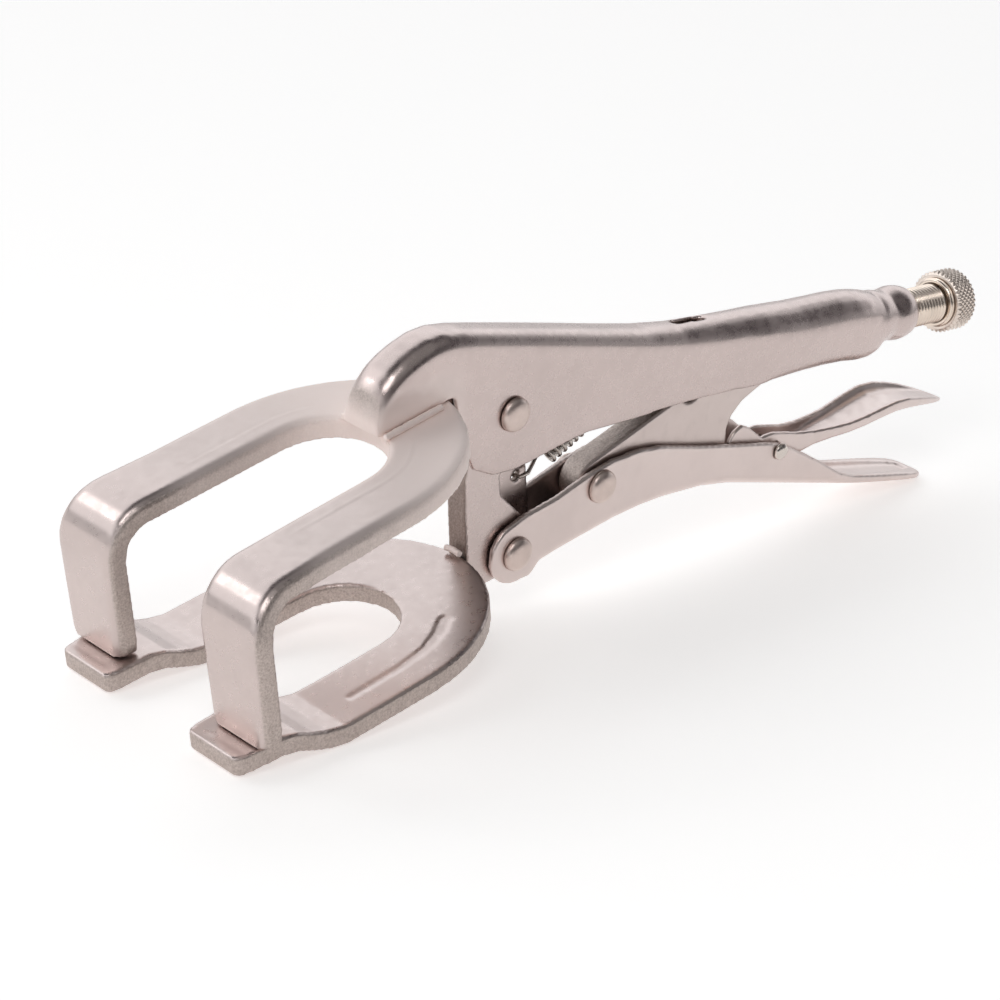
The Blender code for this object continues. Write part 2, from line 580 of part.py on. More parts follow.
def build_adjusting_screw():
    tip = [(0.0, SCREW_FRONT), (2.9, SCREW_FRONT), (SCREW_CORE, SCREW_FRONT + 1.8),
           (SCREW_CORE, SCREW_FRONT + TIP_LENGTH), (0.0, SCREW_FRONT + TIP_LENGTH)]
    turned("screw_tip", tip[::-1], TUBE_END, TUBE_AXIS, bright, 24)
    start = SCREW_FRONT + TIP_LENGTH + GAP
    rings = []
    height = start + 0.5
    while height < KNOB_START - 2.6:
        rings += [(SCREW_CORE, height), (SCREW_RADIUS, height + SCREW_PITCH)]
        height += 2 * SCREW_PITCH
    rod = [(0.0, start), (SCREW_CORE, start)] + rings
    rod += [(SCREW_CORE, KNOB_START - 1.2 - GAP), (0.0, KNOB_START - 1.2 - GAP)]
    turned("adjusting_screw", rod[::-1], TUBE_END, TUBE_AXIS, bright, 20)
    start, end = KNOB_START, KNOB_START + KNOB_LENGTH
    knob = [(0.0, end), (KNOB_RADIUS - 0.9, end), (KNOB_RADIUS, end - 0.7), (KNOB_RADIUS, start + 0.7),
            (KNOB_RADIUS - 0.7, start), (0.0, start)]
    turned("adjusting_knob", knob, TUBE_END, TUBE_AXIS, bright, 48)
    low = KNOB_START - 1.2 - GAP
    collar = [(SCREW_RADIUS + GAP, KNOB_START - GAP), (6.9, KNOB_START - GAP), (6.9, low + 0.3), (6.5, low),
              (SCREW_RADIUS + GAP, low), (SCREW_RADIUS + GAP, KNOB_START - GAP)]
    turned("knob_collar", collar, TUBE_END, TUBE_AXIS, bright, 32)


# ---- spring -----------------------------------------------------------------------
SPRING_HOLE = (115.4, 16.4)
SPRING_HOOK = (177.5, 34.0)


def spring_points():
    """Hook through the arm's ear, the coil, and a hook over the edge of the body's slot."""
    start = Vector((SPRING_HOLE[0], 0.0, SPRING_HOLE[1]))
    end = Vector((SPRING_HOOK[0], 0.0, SPRING_HOOK[1]))
    line = (end - start).normalized()
    side = Vector((0.0, 1.0, 0.0))
    up = line.cross(side)
    points = [start + side * 5.0, start + side * 2.4, start + side * 0.2 + line * 0.4,
              start + side * -0.6 + line * 2.5]
    length = (end - start).length
    coil_start, coil_end = 9.0, length - 11.0
    per_turn = 9
    total = SPRING_TURNS * per_turn
    for i in range(total + 1):
        angle = 2 * math.pi * i / per_turn
        centre = start + line * (coil_start + (coil_end - coil_start) * i / total)
        points.append(centre + (side * math.cos(angle) + up * math.sin(angle)) * SPRING_COIL)
    points += [end - line * 7.0 + up * -0.5, end - line * 2.0, end + up * -2.0 + line * 1.0]
    return points


def build_spring():
    curve = bpy.data.curves.new("tension_spring", "CURVE")
    curve.dimensions = "3D"
    curve.bevel_depth = SPRING_WIRE * MM
    curve.bevel_resolution = 1
    curve.use_fill_caps = True
    spline = curve.splines.new("POLY")
    points = spring_points()
    spline.points.add(len(points) - 1)
    for place, point in zip(spline.points, points):
        place.co = (*(point * MM), 1.0)
    spring = bpy.data.objects.new("tension_spring", curve)
    spring.parent = tool_frame
    curve.materials.append(wire)
    parts.objects.link(spring)


# ---- assembly ---------------------------------------------------------------------
clear_scene()
parts = new_collection("locking_pliers")
cutters = new_collection("cutters")
satin = steel("satin_nickel", (0.66, 0.61, 0.58), 0.38)
bright = steel("bright_nickel", (0.72, 0.69, 0.64), 0.22)
wire = steel("spring_wire", (0.55, 0.53, 0.50), 0.25)
tool_frame = bpy.data.objects.new("tool_frame", None)
tool_frame.rotation_euler = (0.0, -REST_TILT, 0.0)
tool_frame.location = (FRAME_X * MM, 0.0, FRAME_Z * MM)
parts.objects.link(tool_frame)

build_upper_body()
build_upper_jaw()
build_lower_jaw()
build_welds()
build_lower_handle()
build_toggle_link()
build_release_lever()
build_rivets()
build_adjusting_screw()
build_spring()
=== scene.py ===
"""Looks for the U-jaw locking pliers: satin nickel over stamped steel, bright plated
screw and rivets, a drawn wire spring, on a plain pale table under soft studio light.

Features are placed in the jaw frame, in millimetres: X runs from the tips of the lower
jaw towards the knob, Z rises square off the flat of the lower jaw plate, and Y = 0 is
the middle of the tool. The record's mount on the underside of that plate gives its place.
"""

import json
import math

import bpy
import numpy as np
from mathutils import Matrix, Vector


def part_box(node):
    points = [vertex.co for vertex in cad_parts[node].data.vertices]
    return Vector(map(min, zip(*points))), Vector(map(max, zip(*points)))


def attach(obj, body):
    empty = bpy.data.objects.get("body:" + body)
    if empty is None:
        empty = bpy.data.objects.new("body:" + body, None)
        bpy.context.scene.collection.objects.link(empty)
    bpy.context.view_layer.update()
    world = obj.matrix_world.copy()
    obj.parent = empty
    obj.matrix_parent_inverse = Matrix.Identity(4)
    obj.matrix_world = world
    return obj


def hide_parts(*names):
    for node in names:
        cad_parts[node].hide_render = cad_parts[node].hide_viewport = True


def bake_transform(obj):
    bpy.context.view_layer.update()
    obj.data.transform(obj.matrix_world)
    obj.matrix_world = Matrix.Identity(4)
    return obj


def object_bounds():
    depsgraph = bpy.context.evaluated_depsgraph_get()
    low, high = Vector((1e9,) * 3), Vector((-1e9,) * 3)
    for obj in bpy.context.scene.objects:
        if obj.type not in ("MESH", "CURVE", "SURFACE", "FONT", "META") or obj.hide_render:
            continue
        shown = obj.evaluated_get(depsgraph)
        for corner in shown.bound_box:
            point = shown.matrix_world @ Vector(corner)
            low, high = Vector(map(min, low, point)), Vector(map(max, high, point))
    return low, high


MM = 0.001
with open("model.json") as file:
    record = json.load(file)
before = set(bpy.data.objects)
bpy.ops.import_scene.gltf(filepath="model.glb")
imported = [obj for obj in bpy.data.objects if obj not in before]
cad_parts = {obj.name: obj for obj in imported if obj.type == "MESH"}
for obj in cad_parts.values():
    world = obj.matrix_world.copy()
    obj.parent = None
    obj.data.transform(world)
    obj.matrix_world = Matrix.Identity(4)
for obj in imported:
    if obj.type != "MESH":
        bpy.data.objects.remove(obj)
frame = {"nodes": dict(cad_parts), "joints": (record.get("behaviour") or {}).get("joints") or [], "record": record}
cad_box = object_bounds()
record = frame["record"]
joints = {joint["name"]: joint for joint in frame["joints"]}

# ---- the jaw frame ----------------------------------------------------------------
MOUNT_X = 80.0                 # where the mount lies on the plate, in the jaw frame
mount = record["mounts"][0]
UP = -Vector(mount["axis"])
FORWARD = Vector((0.0, 1.0, 0.0)).cross(UP)
ORIGIN = Vector(mount["pos_m"]) - FORWARD * MOUNT_X * MM
JAW = Matrix((FORWARD, (0.0, 1.0, 0.0), UP)).transposed().to_4x4()
JAW.translation = ORIGIN
AXES = np.array(JAW.to_3x3())


def to_jaw(points):
    """World points in metres as jaw-frame points in millimetres."""
    return (points - np.array(ORIGIN)) @ AXES / MM


def to_world(points):
    return np.asarray(points, float) * MM @ AXES.T + np.array(ORIGIN)


def jaw_point(x, y, z):
    return JAW @ (Vector((x, y, z)) * MM)


# ---- mesh helpers -----------------------------------------------------------------
def link(obj):
    bpy.context.scene.collection.objects.link(obj)
    return obj


def coords(mesh):
    values = np.empty(len(mesh.vertices) * 3, np.float32)
    mesh.vertices.foreach_get("co", values)
    return values.reshape(-1, 3).astype(float)


def normals(mesh):
    values = np.empty(len(mesh.vertices) * 3, np.float32)
    mesh.vertices.foreach_get("normal", values)
    return values.reshape(-1, 3).astype(float)


def set_coords(mesh, points):
    mesh.vertices.foreach_set("co", points.astype(np.float32).ravel())
    mesh.update()


def paint(mesh, name, values):
    """A float per vertex, from 0 to 1, for a material to read."""
    layer = mesh.attributes.new(name, "FLOAT", "POINT")
    layer.data.foreach_set("value", np.clip(values, 0, 1).astype(np.float32))


def finished(obj):
    """The mesh as its modifiers leave it, with no modifier left."""
    bpy.context.view_layer.update()
    graph = bpy.context.evaluated_depsgraph_get()
    mesh = bpy.data.meshes.new_from_object(obj.evaluated_get(graph))
    obj.modifiers.clear()
    obj.data = mesh
    mesh.shade_smooth()
    return obj


def put_on(obj, body, material):
    obj.data.materials.clear()
    obj.data.materials.append(material)
    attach(obj, body)
    return obj


def bump(distance, width):
    """A smooth hump of height 1 at distance 0."""
    return np.exp(-(distance / width) ** 2)


def step(value, low, high):
    t = np.clip((value - low) / (high - low), 0, 1)
    return t * t * (3 - 2 * t)


def waves(points, size, seed, layers=5):
    """Smooth made-up unevenness, about -1 to 1, from a few sine waves."""
    rng = np.random.default_rng(seed)
    total = np.zeros(len(points))
    for _ in range(layers):
        direction = rng.normal(size=3)
        direction /= np.linalg.norm(direction)
        length = size * rng.uniform(0.6, 1.6)
        phase = rng.uniform(0, 6.28)
        total += np.sin(points @ direction * 2 * math.pi / length + phase)
    return total / layers


def skin(node, voxel, passes, shape=None, sheared=None, worn=None):
    """A fine, soft-edged skin over a CAD node, which it replaces."""
    source = frame["nodes"][node]
    obj = link(bpy.data.objects.new(f"{node}_skin", source.data.copy()))
    remesh = obj.modifiers.new("remesh", "REMESH")
    remesh.mode = "VOXEL"
    remesh.voxel_size = voxel * MM * 1.0
    soften = obj.modifiers.new("soften", "SMOOTH")
    soften.factor = 0.5
    soften.iterations = passes
    finished(obj)
    points, facing = to_jaw(coords(obj.data)), normals(obj.data) @ AXES
    if shape:
        points = points + facing * shape(points, facing)[:, None]
        set_coords(obj.data, to_world(points))
    paint(obj.data, "sheared", sheared(points, facing) if sheared else np.zeros(len(points)))
    paint(obj.data, "worn", worn(points) if worn else np.zeros(len(points)))
    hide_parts(node)
    return obj


# ---- materials --------------------------------------------------------------------
class Nodes:
    """Short names for building a node material."""

    def __init__(self, name):
        self.material = bpy.data.materials.new(name)
        self.material.use_nodes = True
        self.tree = self.material.node_tree
        self.shader = self.tree.nodes["Principled BSDF"]
        place = self.tree.nodes.new("ShaderNodeTexCoord")
        self.place = place.outputs["Object"]

    def wire(self, source, target):
        self.tree.links.new(source, target)

    def noise(self, scale, detail=4.0, roughness=0.55, vector=None, stretch=None):
        node = self.tree.nodes.new("ShaderNodeTexNoise")
        node.inputs["Scale"].default_value = scale
        node.inputs["Detail"].default_value = detail
        node.inputs["Roughness"].default_value = roughness
        source = vector or self.place
        if stretch:
            mapping = self.tree.nodes.new("ShaderNodeMapping")
            mapping.inputs["Scale"].default_value = stretch
            self.wire(source, mapping.inputs["Vector"])
            source = mapping.outputs["Vector"]
        self.wire(source, node.inputs["Vector"])
        return node.outputs["Fac"]

    def ramp(self, value, low, high, at_low, at_high):
        node = self.tree.nodes.new("ShaderNodeMapRange")
        node.inputs["From Min"].default_value = low
        node.inputs["From Max"].default_value = high
        node.inputs["To Min"].default_value = at_low
        node.inputs["To Max"].default_value = at_high
        self.wire(value, node.inputs["Value"])
        return node.outputs["Result"]

    def mix(self, share, one, other):
        """Two colours mixed by share; either may be a tuple or a socket."""
        node = self.tree.nodes.new("ShaderNodeMix")
        node.data_type = "RGBA"
        self.feed(share, node.inputs["Factor"])
        self.feed(one, node.inputs[6])
        self.feed(other, node.inputs[7])
        return node.outputs[2]

    def math(self, operation, one, other):
        node = self.tree.nodes.new("ShaderNodeMath")
        node.operation = operation
        self.feed(one, node.inputs[0])
        self.feed(other, node.inputs[1])
        return node.outputs[0]

    def feed(self, value, target):
        if isinstance(value, bpy.types.NodeSocket):
            self.wire(value, target)
        elif isinstance(value, tuple):
            target.default_value = (*value, 1.0)
        else:
            target.default_value = value

    def attribute(self, name):
        node = self.tree.nodes.new("ShaderNodeAttribute")
        node.attribute_name = name
        return node.outputs["Fac"]

    def relief(self, height, strength, distance, before=None):
        node = self.tree.nodes.new("ShaderNodeBump")
        node.inputs["Strength"].default_value = strength
        node.inputs["Distance"].default_value = distance
        self.wire(height, node.inputs["Height"])
        if before:
            self.wire(before, node.inputs["Normal"])
        return node.outputs["Normal"]


PALE_EDGE = ((0.34, 0.285, 0.255), (0.58, 0.50, 0.46))
DARK_EDGE = ((0.17, 0.135, 0.115), (0.36, 0.295, 0.26))


def satin_nickel(name, rough=0.30, grain=0.35, tint=(0.59, 0.50, 0.475), dirt=0.12, edge=PALE_EDGE):
    """Dull nickel plate on rolled steel: a fine pebbled grain, a slow colour drift, a
    browner, coarser finish where the blank was sheared, and a matt one where it is worn."""
    m = Nodes(name)
    sheared = m.attribute("sheared")
    worn = m.attribute("worn")
    drift = m.noise(55, 4)
    patches = m.noise(260, 3)
    pale = tuple(min(1.0, c * 1.06) for c in tint)
    dull = tuple(c * 0.86 for c in tint)
    colour = m.mix(m.ramp(drift, 0.35, 0.65, 0, 1), pale, tint)
    colour = m.mix(m.ramp(patches, 0.55, 0.8, 0, dirt), colour, dull)
    grit = m.noise(1900, 3, 0.7)
    edge_colour = m.mix(m.ramp(grit, 0.35, 0.65, 0, 1), *edge)
    colour = m.mix(m.ramp(sheared, 0.0, 1.0, 0.0, 0.8), colour, edge_colour)
    colour = m.mix(worn, colour, (0.97, 0.855, 0.81))
    m.wire(colour, m.shader.inputs["Base Color"])
    m.wire(m.ramp(worn, 0.0, 1.0, 1.0, 0.30), m.shader.inputs["Metallic"])
    rough_plate = m.ramp(m.noise(420, 4), 0.3, 0.7, rough - 0.04, rough + 0.07)
    rough_all = m.math("ADD", rough_plate, m.ramp(sheared, 0.0, 1.0, 0.0, 0.16))
    rough_all = m.math("ADD", rough_all, m.ramp(worn, 0.0, 1.0, 0.0, 0.42))
    m.wire(rough_all, m.shader.inputs["Roughness"])
    pebbles = m.noise(2300, 2, 0.6)
    normal = m.relief(pebbles, grain, 0.00012)
    striae = m.noise(900, 4, 0.7, stretch=(1.0, 1.0, 0.25))
    torn = m.math("MULTIPLY", striae, m.ramp(sheared, 0.0, 1.0, 0.0, 1.0))
    normal = m.relief(torn, 0.6, 0.0005, normal)
    m.wire(normal, m.shader.inputs["Normal"])
    return m.material


def bright_nickel(name, rough=0.14, tint=(0.80, 0.76, 0.70), grooves=0.12):
    """Bright plate on a turned part, with faint handling marks."""
    m = Nodes(name)
    drift = m.noise(160, 4)
    colour = m.mix(m.ramp(drift, 0.35, 0.7, 0, 1), tint, tuple(c * 0.84 for c in tint))
    m.wire(colour, m.shader.inputs["Base Color"])
    m.shader.inputs["Metallic"].default_value = 1.0
    m.wire(m.ramp(m.noise(700, 4), 0.3, 0.75, rough, rough + 0.14), m.shader.inputs["Roughness"])
    marks = m.noise(1400, 4, 0.7)
    m.wire(m.relief(marks, grooves, 0.00015), m.shader.inputs["Normal"])
    return m.material


def spring_steel(name):
    m = Nodes(name)
    streaks = m.noise(900, 4, 0.6)
    colour = m.mix(m.ramp(streaks, 0.35, 0.65, 0, 1), (0.60, 0.54, 0.50), (0.34, 0.30, 0.27))
    m.wire(colour, m.shader.inputs["Base Color"])
    m.shader.inputs["Metallic"].default_value = 1.0
    m.wire(m.ramp(m.noise(1500, 3), 0.3, 0.7, 0.16, 0.32), m.shader.inputs["Roughness"])
    m.wire(m.relief(m.noise(2600, 3), 0.15, 0.0001), m.shader.inputs["Normal"])
    return m.material


body_finish = satin_nickel("body_satin_nickel", 0.27, 0.12, (0.585, 0.49, 0.465))
jaw_finish = satin_nickel("jaw_satin_nickel", 0.29, 0.05)
arm_finish = satin_nickel("arm_satin_nickel", 0.27, 0.24, edge=DARK_EDGE)
handle_finish = satin_nickel("handle_satin_nickel", 0.33, 0.12, (0.70, 0.60, 0.57))
link_finish = satin_nickel("link_satin_nickel", 0.33, 0.30, (0.62, 0.53, 0.50), 0.5)
weld_finish = satin_nickel("weld_nickel", 0.30, 0.60, (0.62, 0.53, 0.49))
screw_finish = bright_nickel("screw_bright_nickel", 0.13, (0.84, 0.72, 0.62))
knob_finish = bright_nickel("knob_bright_nickel", 0.26, (0.86, 0.75, 0.67))
rivet_finish = bright_nickel("rivet_nickel", 0.30, (0.70, 0.58, 0.53), 0.3)
small_rivet_finish = bright_nickel("small_rivet_nickel", 0.13, (0.72, 0.65, 0.60), 0.5)
spring_finish = spring_steel("spring_wire_steel")


# ---- stamped and pressed pieces ---------------------------------------------------
# These repeat the driving dimensions of the upper jaw in the CAD part.
FORK_TOP = 49.7                # the fork's top face above the plate's underside, at X = 16.5
FORK_SLOPE = math.tan(math.radians(1.6))
FORK_TOP_X = 16.5
FORK_SLOT_HALF = 14.6
FORK_SLOT_END = 70.6


def slot_distance(points, end, half):
    """Distance in plan from the wall of a round-ended slot down the middle."""
    x, y = points[:, 0], np.abs(points[:, 1])
    past = np.maximum(x - (end - half), 0.0)
    return np.hypot(past, y) - half


def shape_fork(points, facing):
    """A coined line beside the slot, and a slight waviness of the pressed face."""
    x, y, z = points.T
    top = FORK_TOP + FORK_SLOPE * (x - FORK_TOP_X)
    on_top = step(facing[:, 2], 0.75, 0.95) * step(-(z - top), -1.5, 1.5)
    away = slot_distance(points, FORK_SLOT_END, FORK_SLOT_HALF)
    fade = step(x, 26, 40) * (1 - step(x, 66, 76))
    line = 0.11 * bump(away - 5.6, 0.40) - 0.07 * bump(away - 6.5, 0.60)
    return on_top * fade * line + 0.012 * waves(points, 16, 3)


def worn_fork(points):
    """The blasted heel around the weld, fading out along the tines."""
    x = points[:, 0]
    return 0.35 * step(x, 18, 32) + 0.65 * step(x, 38, 76)


def sheared_fork(points, facing):
    """The walls of the slot and the outer edge of the heel."""
    x = points[:, 0]
    flat = np.abs(facing[:, 2]) < 0.62
    side = step(np.abs(facing[:, 1]), 0.62, 0.82)
    ends = step(x, 48, 56) * flat * step(np.abs(facing[:, 0]) + np.abs(facing[:, 1]), 0.7, 0.9)
    return np.maximum(side, ends)


PLATE_THICK = 5.0              # repeats the CAD part's lower plate


def groove_distance(points):
    """Distance in plan from the engraved groove that runs back beside the slot."""
    route = np.array([(36.0, 25.7), (52.0, 25.4), (62.0, 24.0), (69.0, 21.0), (73.6, 17.0)])
    x, y = points[:, 0], np.abs(points[:, 1])
    best = np.full(len(x), 1e9)
    for (x0, y0), (x1, y1) in zip(route, route[1:]):
        length = (x1 - x0) ** 2 + (y1 - y0) ** 2
        t = np.clip(((x - x0) * (x1 - x0) + (y - y0) * (y1 - y0)) / length, 0, 1)
        best = np.minimum(best, np.hypot(x - x0 - t * (x1 - x0), y - y0 - t * (y1 - y0)))
    return best


def shape_plate(points, facing):
    """A faint step across each pad, and a groove shallower than the one in the CAD part."""
    x, y, z = points.T
    on_top = step(facing[:, 2], 0.6, 0.9)
    notch = -0.16 * on_top * step(x, 0.6, 2.4) * (1 - step(x, 3.6, 6.0)) * step(np.abs(y), 16, 20)
    in_groove = step(facing[:, 2], 0.3, 0.6) * (1 - step(groove_distance(points), 2.2, 3.2))
    shallow = 0.55 * np.clip(PLATE_THICK - z, 0, 0.6) * in_groove
    return notch + shallow + 0.012 * waves(points, 18, 5)


def sheared_plate(points, facing):
    beside = step(groove_distance(points), 3.0, 4.0)
    return beside * (1 - step(np.abs(facing[:, 2]), 0.35, 0.6))


def sheared_blank(points, facing):
    """A blank cut from plate that stands on edge: everything but its two flat sides."""
    return 1 - step(np.abs(facing[:, 1]), 0.4, 0.7)


def shape_sheet(points, facing):
    return 0.012 * waves(points, 22, 8)


NOSE_CUT = 67.7                # where the body's nose is cut off


def sheared_body(points, facing):
    """The nose's cut face, and the thin lower edge of each side wall."""
    x, y, z = points.T
    nose = step(-facing[:, 0], 0.55, 0.8) * (1 - step(x, NOSE_CUT + 1.0, NOSE_CUT + 4.0))
    rim = step(-facing[:, 2], 0.75, 0.95) * (1 - step(x, 206, 212)) * step(np.abs(y), 3.6, 4.4)
    return np.maximum(nose, 0.8 * rim)


def worn_body(points):
    """The blasted foot of the nose beside the weld."""
    return (1 - step(points[:, 2], 54, 62)) * (1 - step(points[:, 0], 86, 96))


def sheared_handle(points, facing):
    """The thin upper edges of the side walls."""
    x, y, z = points.T
    return 0.6 * step(facing[:, 2], 0.8, 0.95) * step(np.abs(y), 3.9, 4.3) * (1 - step(x, 212, 225))


def build_pressings():
    for node, body, voxel, passes, shape, sheared, worn, material in (
            ("upper_body", "upper_handle", 0.55, 10, shape_sheet, sheared_body, worn_body, body_finish),
            ("upper_jaw", "upper_handle", 0.5, 9, shape_fork, sheared_fork, worn_fork, jaw_finish),
            ("lower_jaw_plate", "lower_jaw", 0.45, 4, shape_plate, sheared_plate, None, jaw_finish),
            ("lower_jaw_arm", "lower_jaw", 0.45, 4, shape_sheet, sheared_blank, None, arm_finish),
            ("lower_handle", "lower_handle", 0.5, 6, shape_sheet, sheared_handle, None, handle_finish),
            ("toggle_link", "toggle_link", 0.45, 5, shape_sheet, sheared_blank, None, link_finish),
            ("release_lever", "release_lever", 0.4, 5, shape_sheet, None, None, handle_finish)):
        piece = skin(node, voxel, passes, shape, sheared, worn)
        put_on(piece, body, material)


# ---- welds ------------------------------------------------------------------------
def build_welds():
    for node, body, swell in (("upper_jaw_weld_left", "upper_handle", 0.28),
                              ("upper_jaw_weld_right", "upper_handle", 0.28),
                              ("lower_jaw_weld", "lower_jaw", -0.10)):
        shape = lambda p, n: swell + 0.10 * waves(p, 1.6, 11) + 0.05 * waves(p, 0.8, 12)
        piece = skin(node, 0.2, 3, shape, None, lambda p: np.ones(len(p)))
        put_on(piece, body, weld_finish)


# ---- turned pieces ----------------------------------------------------------------
def frame_on(axis):
    """Two directions square to an axis."""
    side = Vector((0.0, 1.0, 0.0)) if abs(axis.y) < 0.9 else Vector((0.0, 0.0, 1.0))
    first = side.cross(axis).normalized()
    return first, axis.cross(first).normalized()


def turned(name, origin, axis, radius_of, heights, around):
    """A closed surface of revolution whose radius may change with the angle too. It runs
    from heights[0] to heights[-1], in millimetres along axis, and closes at both ends."""
    first, second = frame_on(axis)
    verts, faces = [], []
    angles = [2 * math.pi * i / around for i in range(around)]
    for row, height in enumerate(heights):
        for angle in angles:
            radius = radius_of(row, height, angle)
            verts.append(origin + axis * height * MM
                         + (first * math.cos(angle) + second * math.sin(angle)) * radius * MM)
    for row in range(len(heights) - 1):
        for i in range(around):
            j = (i + 1) % around
            faces.append((row * around + i, row * around + j,
                          (row + 1) * around + j, (row + 1) * around + i))
    for row, order in ((0, -1), (len(heights) - 1, 1)):
        centre = len(verts)
        verts.append(origin + axis * heights[row] * MM)
        for i in range(around):
            pair = (row * around + i, row * around + (i + 1) % around)
            faces.append((centre, *pair[::order]))
    mesh = bpy.data.meshes.new(name)
    mesh.from_pydata(verts, [], faces)
    mesh.shade_smooth()
    return link(bpy.data.objects.new(name, mesh))


def from_profile(name, origin, axis, profile, around=64):
    """profile is (height, radius) pairs."""
    return turned(name, origin, axis, lambda row, h, a: profile[row][1], [p[0] for p in profile], around)


SIDE = Vector((0.0, -1.0, 0.0))
RIVETS = (("jaw_rivet", "upper_handle", "satin_nickel", rivet_finish),
          ("handle_rivet", "lower_handle", "satin_nickel", rivet_finish),
          ("toggle_rivet", "lower_handle", "satin_nickel", rivet_finish),
          ("release_lever_rivet", "lower_handle", "bright_nickel", small_rivet_finish))


def build_rivets():
    for node, body, slot, material in RIVETS:
        low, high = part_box(node)
        centre = (low + high) / 2
        half, head = (high.y - low.y) / 2 / MM, (high.x - low.x) / 2 / MM
        small = head < 3.0
        dome = 1.2 if small else 2.0
        shank = 1.5 if small else 3.0
        cap = []
        for i in range(13):
            t = i / 12
            cap.append((half - dome * t ** 2.3, max(0.15, head * math.sin(math.pi / 2 * t) ** 0.9)))
        cap.append((half - dome - 0.12, head * 0.985))
        cap.append((half - dome - 0.15, shank + 0.3))
        cap.append((half - dome - 0.3, shank))
        profile = cap + [(-h, r) for h, r in reversed(cap)]
        rivet = from_profile(f"{node}_turned", centre, SIDE, profile[::-1], 48)
        if small:
            points = to_jaw(coords(rivet.data))
            dent = waves(points, 2.4, 21) * step(np.abs(points[:, 1]), 5.5, 6.5)
            set_coords(rivet.data, to_world(points + normals(rivet.data) @ AXES * 0.12 * dent[:, None]))
        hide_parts(node)
        put_on(rivet, body, material)


SCREW_AXIS = Vector(joints["screw_turn"]["axis"]).normalized()
MOUTH = Vector(joints["screw_turn"]["pos_m"])      # the centre of the tube's mouth
SCREW_RADIUS = 5.45
SCREW_CORE = 4.75
SCREW_PITCH = 1.27
SCREW_FRONT = -41.6
TIP_LENGTH = 4.0
KNOB_START = 15.2
COLLAR_LOW = KNOB_START - 1.2 - 0.3                # the collar is 1.2 long, 0.3 off the knob
KNOB_LENGTH = 7.6
KNOB_RADIUS = 8.6
TEETH = 36


def thread_radius(row, height, angle):
    turn = (height / SCREW_PITCH - angle / (2 * math.pi)) % 1.0
    rise = 1 - abs(2 * turn - 1)
    flank = min(max((rise - 0.18) / 0.62, 0.0), 1.0)
    return SCREW_CORE + (SCREW_RADIUS - SCREW_CORE) * flank


def knurl_radius(height, angle):
    """Two crossed sets of V grooves."""
    turn = angle / (2 * math.pi)
    lead = (height - KNOB_START) / (2 * math.pi * KNOB_RADIUS / TEETH) / 1.15
    one = abs(((turn * TEETH + lead) % 1.0) * 2 - 1)
    other = abs(((turn * TEETH - lead) % 1.0) * 2 - 1)
    cut = min(max((max(one, other) - 0.45) / 0.55, 0.0), 1.0)
    return KNOB_RADIUS - 0.42 * cut


def build_screw():
    start = SCREW_FRONT + TIP_LENGTH + 0.3
    end = COLLAR_LOW
    rows = int((end - start) / (SCREW_PITCH / 8))
    heights = [start] + [start + (end - start) * i / rows for i in range(rows + 1)] + [end]
    screw = turned("adjusting_screw_threaded", MOUTH, SCREW_AXIS,
                   lambda row, h, a: thread_radius(row, h, a) if 0 < row < rows + 2 else 4.3,
                   heights, 48)
    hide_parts("adjusting_screw")
    put_on(screw, "screw", screw_finish)

    tip = [(SCREW_FRONT, 0.4), (SCREW_FRONT, 2.6), (SCREW_FRONT + 0.2, 3.0),
           (SCREW_FRONT + 1.7, SCREW_CORE - 0.2), (SCREW_FRONT + 2.0, SCREW_CORE),
           (SCREW_FRONT + TIP_LENGTH - 0.1, SCREW_CORE),
           (SCREW_FRONT + TIP_LENGTH, SCREW_CORE - 0.1)]
    point = from_profile("screw_tip_turned", MOUTH, SCREW_AXIS, tip, 40)
    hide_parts("screw_tip")
    put_on(point, "screw_slide", screw_finish)

    low = COLLAR_LOW
    ring = [(low, 5.78), (low, 6.3), (low + 0.12, 6.6), (low + 0.4, 6.78),
            (low + 0.62, 6.62), (low + 0.74, 6.62), (low + 0.9, 6.88),
            (KNOB_START - 0.34, 6.88), (KNOB_START - 0.3, 6.8), (KNOB_START - 0.3, 5.78)]
    collar = open_ring("knob_collar_turned", ring, 64)
    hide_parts("knob_collar")
    put_on(collar, "screw", screw_finish)
    build_knob()


def open_ring(name, profile, around):
    """A ring turned about the screw's axis from a closed (height, radius) profile."""
    first, second = frame_on(SCREW_AXIS)
    verts, faces = [], []
    count = len(profile)
    for i in range(around):
        angle = 2 * math.pi * i / around
        out = first * math.cos(angle) + second * math.sin(angle)
        verts += [MOUTH + SCREW_AXIS * h * MM + out * r * MM for h, r in profile]
    for i in range(around):
        j = (i + 1) % around
        for k in range(count):
            n = (k + 1) % count
            faces.append((i * count + k, j * count + k, j * count + n, i * count + n))
    mesh = bpy.data.meshes.new(name)
    mesh.from_pydata(verts, [], faces)
    mesh.shade_smooth()
    mesh.set_sharp_from_angle(angle=math.radians(40))
    return link(bpy.data.objects.new(name, mesh))


